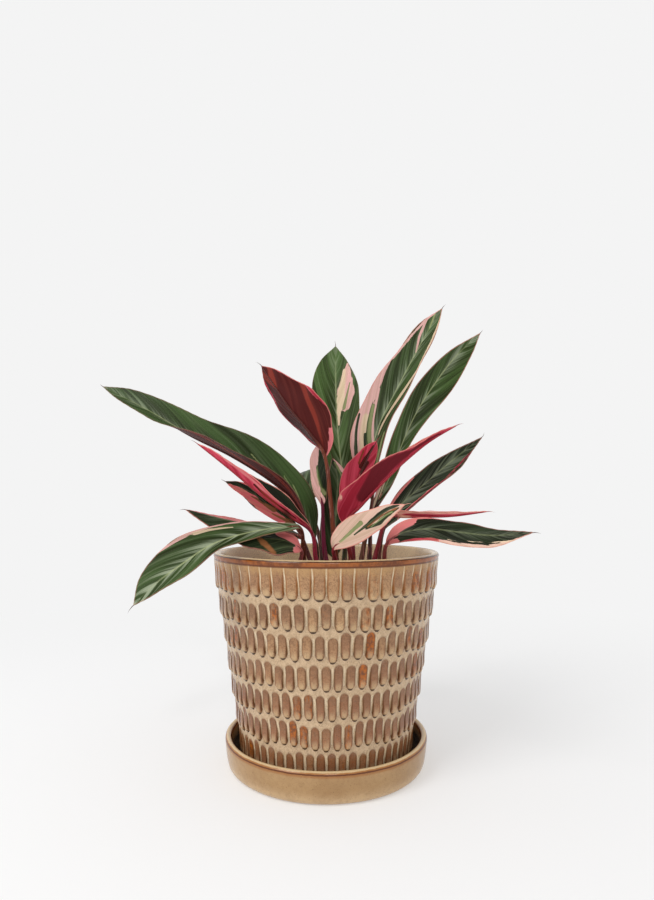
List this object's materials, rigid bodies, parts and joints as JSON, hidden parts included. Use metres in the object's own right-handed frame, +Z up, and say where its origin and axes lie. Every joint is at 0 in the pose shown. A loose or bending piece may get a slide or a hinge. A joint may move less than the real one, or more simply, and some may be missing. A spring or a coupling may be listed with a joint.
{
  "type": "potted stromanthe houseplant",
  "caption": "Variegated prayer plant with folded, waved leaves in a tapered tan glazed pot with rows of rounded tongues, standing on a shallow saucer.",
  "frame": {"origin": "middle of the saucer's flat underside", "axes": "+Z up, +X to the right as seen from the front, +Y to the back"},
  "size_m": [0.3074, 0.2294, 0.3553],
  "materials": {
    "saucer_glaze": "glossy tan stoneware glaze, rust-brown under the lip",
    "pot_glaze": "glossy speckled brown glaze breaking to cream between raised tongues",
    "potting_mix": "rough, crumbly, matt",
    "green_leaf": "dark green above with a silver midrib and cream-pink marks, maroon below, satin",
    "maroon_leaf": "maroon and crimson underside, satin",
    "cream_leaf": "cream and pink above with green marks, pink below, satin"
  },
  "bodies": {
    "root": {"saucer": "saucer_glaze", "pot": "pot_glaze", "soil": "potting_mix", "leaf_long_left": "green_leaf", "leaf_pink_left": "maroon_leaf", "leaf_coral_left": "cream_leaf", "leaf_dark_left": "green_leaf", "leaf_drooping_left": "green_leaf", "leaf_low_left": "green_leaf", "leaf_maroon_upright": "maroon_leaf", "leaf_centre_back": "green_leaf", "leaf_small_cream": "cream_leaf", "leaf_small_dark": "green_leaf", "leaf_tall_cream_edge": "green_leaf", "leaf_tall_right": "green_leaf", "leaf_magenta": "maroon_leaf", "leaf_small_red": "maroon_leaf", "leaf_dark_right": "green_leaf", "leaf_cream_front": "cream_leaf", "leaf_thin_right": "maroon_leaf", "leaf_low_right": "green_leaf", "leaf_rear_right": "green_leaf", "leaf_rear_left": "green_leaf"}
  },
  "joints": []
}
